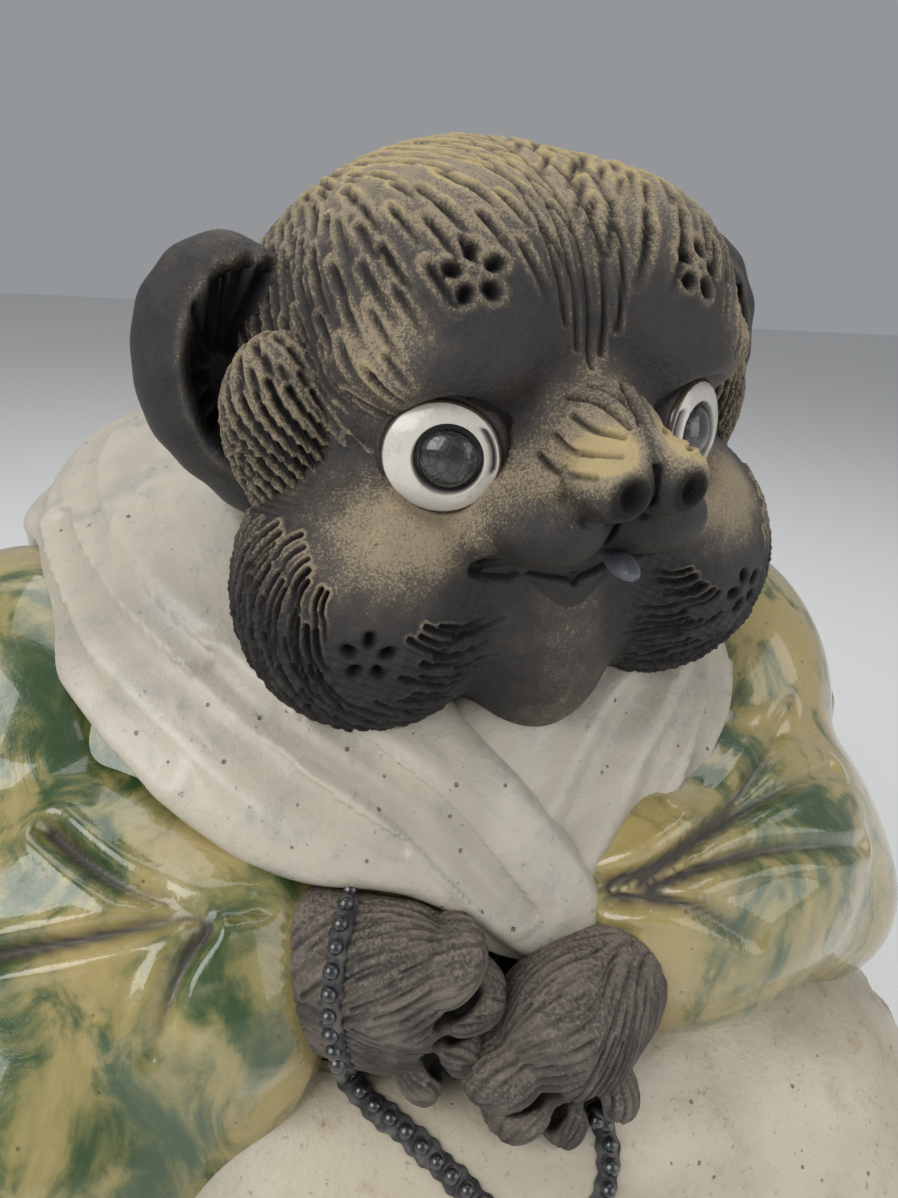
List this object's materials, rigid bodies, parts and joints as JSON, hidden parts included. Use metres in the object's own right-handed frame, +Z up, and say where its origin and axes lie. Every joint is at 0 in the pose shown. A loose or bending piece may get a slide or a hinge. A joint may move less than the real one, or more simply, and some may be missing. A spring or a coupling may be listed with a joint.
{
  "type": "seated tanuki statue",
  "caption": "Seated tanuki in a monk's robe, fired clay, with a white shawl, wide green sleeves, joined paws and a string of beads.",
  "frame": {"origin": "centre of the foot, on the surface that the statue stands on", "axes": "+Z up, -Y out of the figure's chest, +X towards its left side"},
  "size_m": [0.292, 0.2427, 0.3035],
  "materials": {
    "cream_glaze": "satin off-white glaze with small pits",
    "green_glaze": "glossy mottled green and yellow glaze",
    "dark_clay": "unglazed near-black stoneware with sandy grit",
    "grey_clay": "unglazed grey-brown stoneware, combed",
    "white_slip": "white slip under clear glaze",
    "black_glaze": "glossy black glaze"
  },
  "bodies": {
    "root": {"lap_robe": "cream_glaze", "outer_robe": "green_glaze", "nape_shawl": "cream_glaze", "right_lapel": "cream_glaze", "left_lapel": "cream_glaze", "right_sleeve": "green_glaze", "left_sleeve": "green_glaze", "right_sleeve_lining": "green_glaze", "left_sleeve_lining": "green_glaze", "skull": "dark_clay", "right_cheek": "dark_clay", "left_cheek": "dark_clay", "snout": "dark_clay", "nose": "dark_clay", "jaw": "dark_clay", "tongue": "dark_clay", "right_brow": "dark_clay", "left_brow": "dark_clay", "right_ear": "dark_clay", "left_ear": "dark_clay", "right_ear_tuft": "dark_clay", "left_ear_tuft": "dark_clay", "right_eyelid": "dark_clay", "left_eyelid": "dark_clay", "right_eye": "white_slip", "left_eye": "white_slip", "right_pupil": "black_glaze", "left_pupil": "black_glaze", "right_paw": "grey_clay", "left_paw": "grey_clay", "bead_strip": "dark_clay", "beads": "black_glaze", "parent_bead": "black_glaze"}
  },
  "joints": []
}
